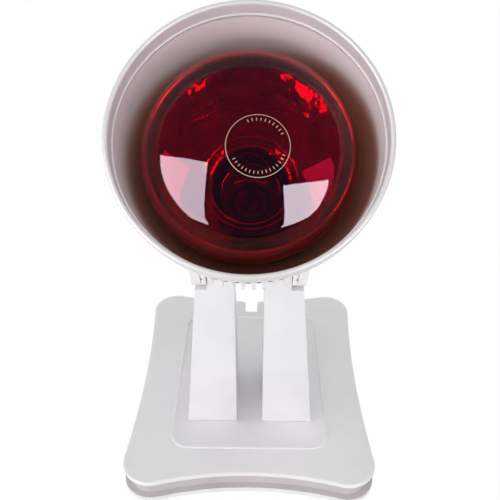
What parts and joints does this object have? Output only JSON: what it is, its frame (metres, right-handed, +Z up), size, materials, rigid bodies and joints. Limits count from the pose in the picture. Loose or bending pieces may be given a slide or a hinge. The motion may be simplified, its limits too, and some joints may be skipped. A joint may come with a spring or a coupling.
{
  "type": "infrared heat therapy lamp",
  "caption": "Table infrared heat lamp: weighted base with drawn-in sides, twin pillars, and a round tilting shade around a large red reflector bulb.",
  "frame": {"origin": "the middle of the footprint on the floor, at the bottom of the rubber feet", "axes": "+Z up, -Y towards the person treated (the way the shade faces), +X to the right seen from the front"},
  "size_m": [0.1798, 0.2162, 0.3171],
  "materials": {
    "white_shell": "satin moulded",
    "base_grey": "fine grained",
    "dark_rubber": "matt",
    "black_switch": "semi-gloss",
    "zinc_steel": "zinc plated",
    "ballast_steel": "raw",
    "brass": "bright",
    "porcelain": "glazed",
    "red_glass": "clear red",
    "clear_glass": "clear",
    "reflector": "vapour coated",
    "tungsten": "drawn",
    "insulation": "moulded"
  },
  "bodies": {
    "stand": {"base_cover": "base_grey", "base_bottom": "white_shell", "cord_bush": "dark_rubber", "terminal_block": "insulation", "ballast_plate": "ballast_steel", "foot_front_left": "dark_rubber", "foot_front_right": "dark_rubber", "foot_rear_left": "dark_rubber", "foot_rear_right": "dark_rubber", "base_screw_1": "zinc_steel", "base_screw_2": "zinc_steel", "base_screw_3": "zinc_steel", "base_screw_4": "zinc_steel", "pillar_screw_1": "zinc_steel", "pillar_screw_2": "zinc_steel", "pillar_screw_3": "zinc_steel", "pillar_screw_4": "zinc_steel", "pillar_right": "white_shell", "pillar_left": "white_shell", "pillar_back_right": "white_shell", "pillar_back_left": "white_shell", "switch_body": "black_switch", "click_spring_right": "zinc_steel", "click_spring_left": "zinc_steel"},
    "head": {"hinge_cap_right": "white_shell", "hinge_cap_left": "white_shell", "front_ring": "white_shell", "shade": "white_shell", "rear_housing": "white_shell", "click_disc_right": "insulation", "click_disc_left": "insulation", "hinge_pin_right": "zinc_steel", "hinge_pin_left": "zinc_steel", "spring_washer_right": "zinc_steel", "spring_washer_left": "zinc_steel", "holder_bracket": "zinc_steel", "housing_screw_1": "zinc_steel", "housing_screw_2": "zinc_steel", "housing_screw_3": "zinc_steel", "bracket_screw_1": "zinc_steel", "bracket_screw_2": "zinc_steel", "lamp_holder": "porcelain", "holder_sleeve": "brass", "holder_contact": "brass"},
    "rocker": {"switch_rocker": "black_switch"},
    "bulb_tip": {"bulb_cap_tip": "zinc_steel"},
    "bulb": {"bulb_envelope": "red_glass", "bulb_reflector": "reflector", "bulb_screw_cap": "brass", "bulb_stem": "clear_glass", "bulb_filament": "tungsten", "bulb_lead_left": "zinc_steel", "bulb_lead_right": "zinc_steel"}
  },
  "joints": [
    {"name": "head_tilt", "type": "hinge", "parent": "stand", "child": "head", "pos_m": [0, -0.03388, 0.1615], "axis": [-1, 0, 0], "range_deg": [-45, 15]},
    {"name": "switch_rock", "type": "hinge", "parent": "stand", "child": "rocker", "pos_m": [0.0255, -0.00699, 0.0829], "axis": [-1, 0, 0], "range_deg": [0, 14]},
    {"name": "bulb_travel", "type": "slide", "parent": "head", "child": "bulb_tip", "axis": [0, -0.7071, 0.7071], "range_m": [0, 0.0146]},
    {"name": "bulb_turn", "type": "hinge", "parent": "bulb_tip", "child": "bulb", "pos_m": [0, -0.05459, 0.26354], "axis": [0, -0.7071, 0.7071], "range_deg": [0, 1440]}
  ],
  "couplings": [
    {"joint": "bulb_travel", "follows": "bulb_turn", "m_per_rad": 0.00057754}
  ]
}
